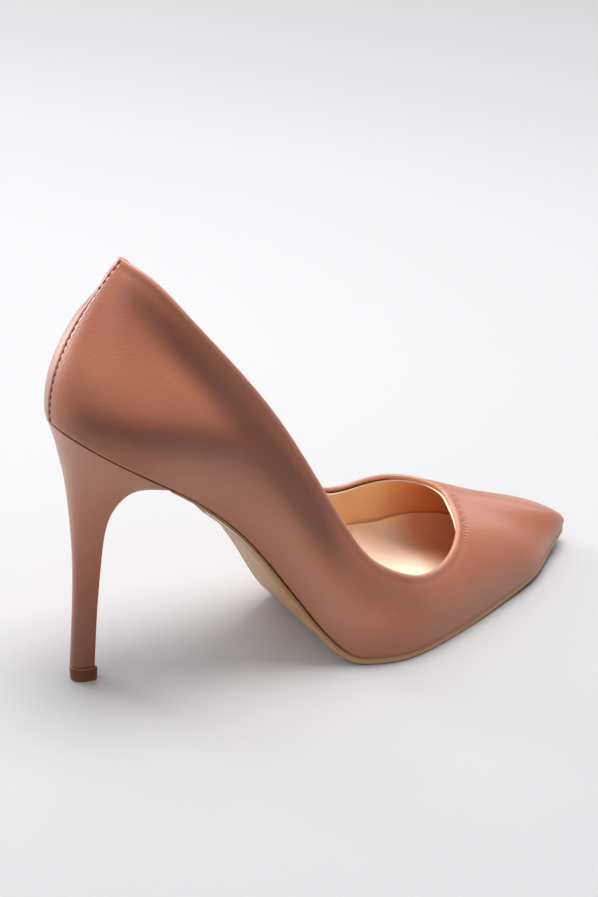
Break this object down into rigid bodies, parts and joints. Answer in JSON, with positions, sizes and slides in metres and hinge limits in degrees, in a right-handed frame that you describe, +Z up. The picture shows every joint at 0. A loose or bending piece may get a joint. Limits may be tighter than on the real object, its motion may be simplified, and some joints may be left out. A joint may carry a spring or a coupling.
{
  "type": "stiletto heel",
  "caption": "Pointed court shoe on a tall slim covered heel, with a low-cut hollow upper, thin sole, arched waist and small hard top lift, for the right foot.",
  "frame": {"origin": "On the floor, under the middle of the shoe's footprint", "axes": "+X from the heel to the toe, +Y to the inner side of the foot, +Z up"},
  "size_m": [0.2172, 0.083, 0.1522],
  "materials": {
    "upper_leather": "smooth satin dusty rose",
    "sock": "matte warm cream",
    "sole_sheet": "smooth beige sole sheet",
    "heel_cover": "smooth satin dusty rose",
    "lift": "hard dark brown"
  },
  "bodies": {
    "root": {"upper": "upper_leather", "insole": "sock", "outsole": "sole_sheet", "heel": "heel_cover", "top_lift": "lift"}
  },
  "joints": []
}
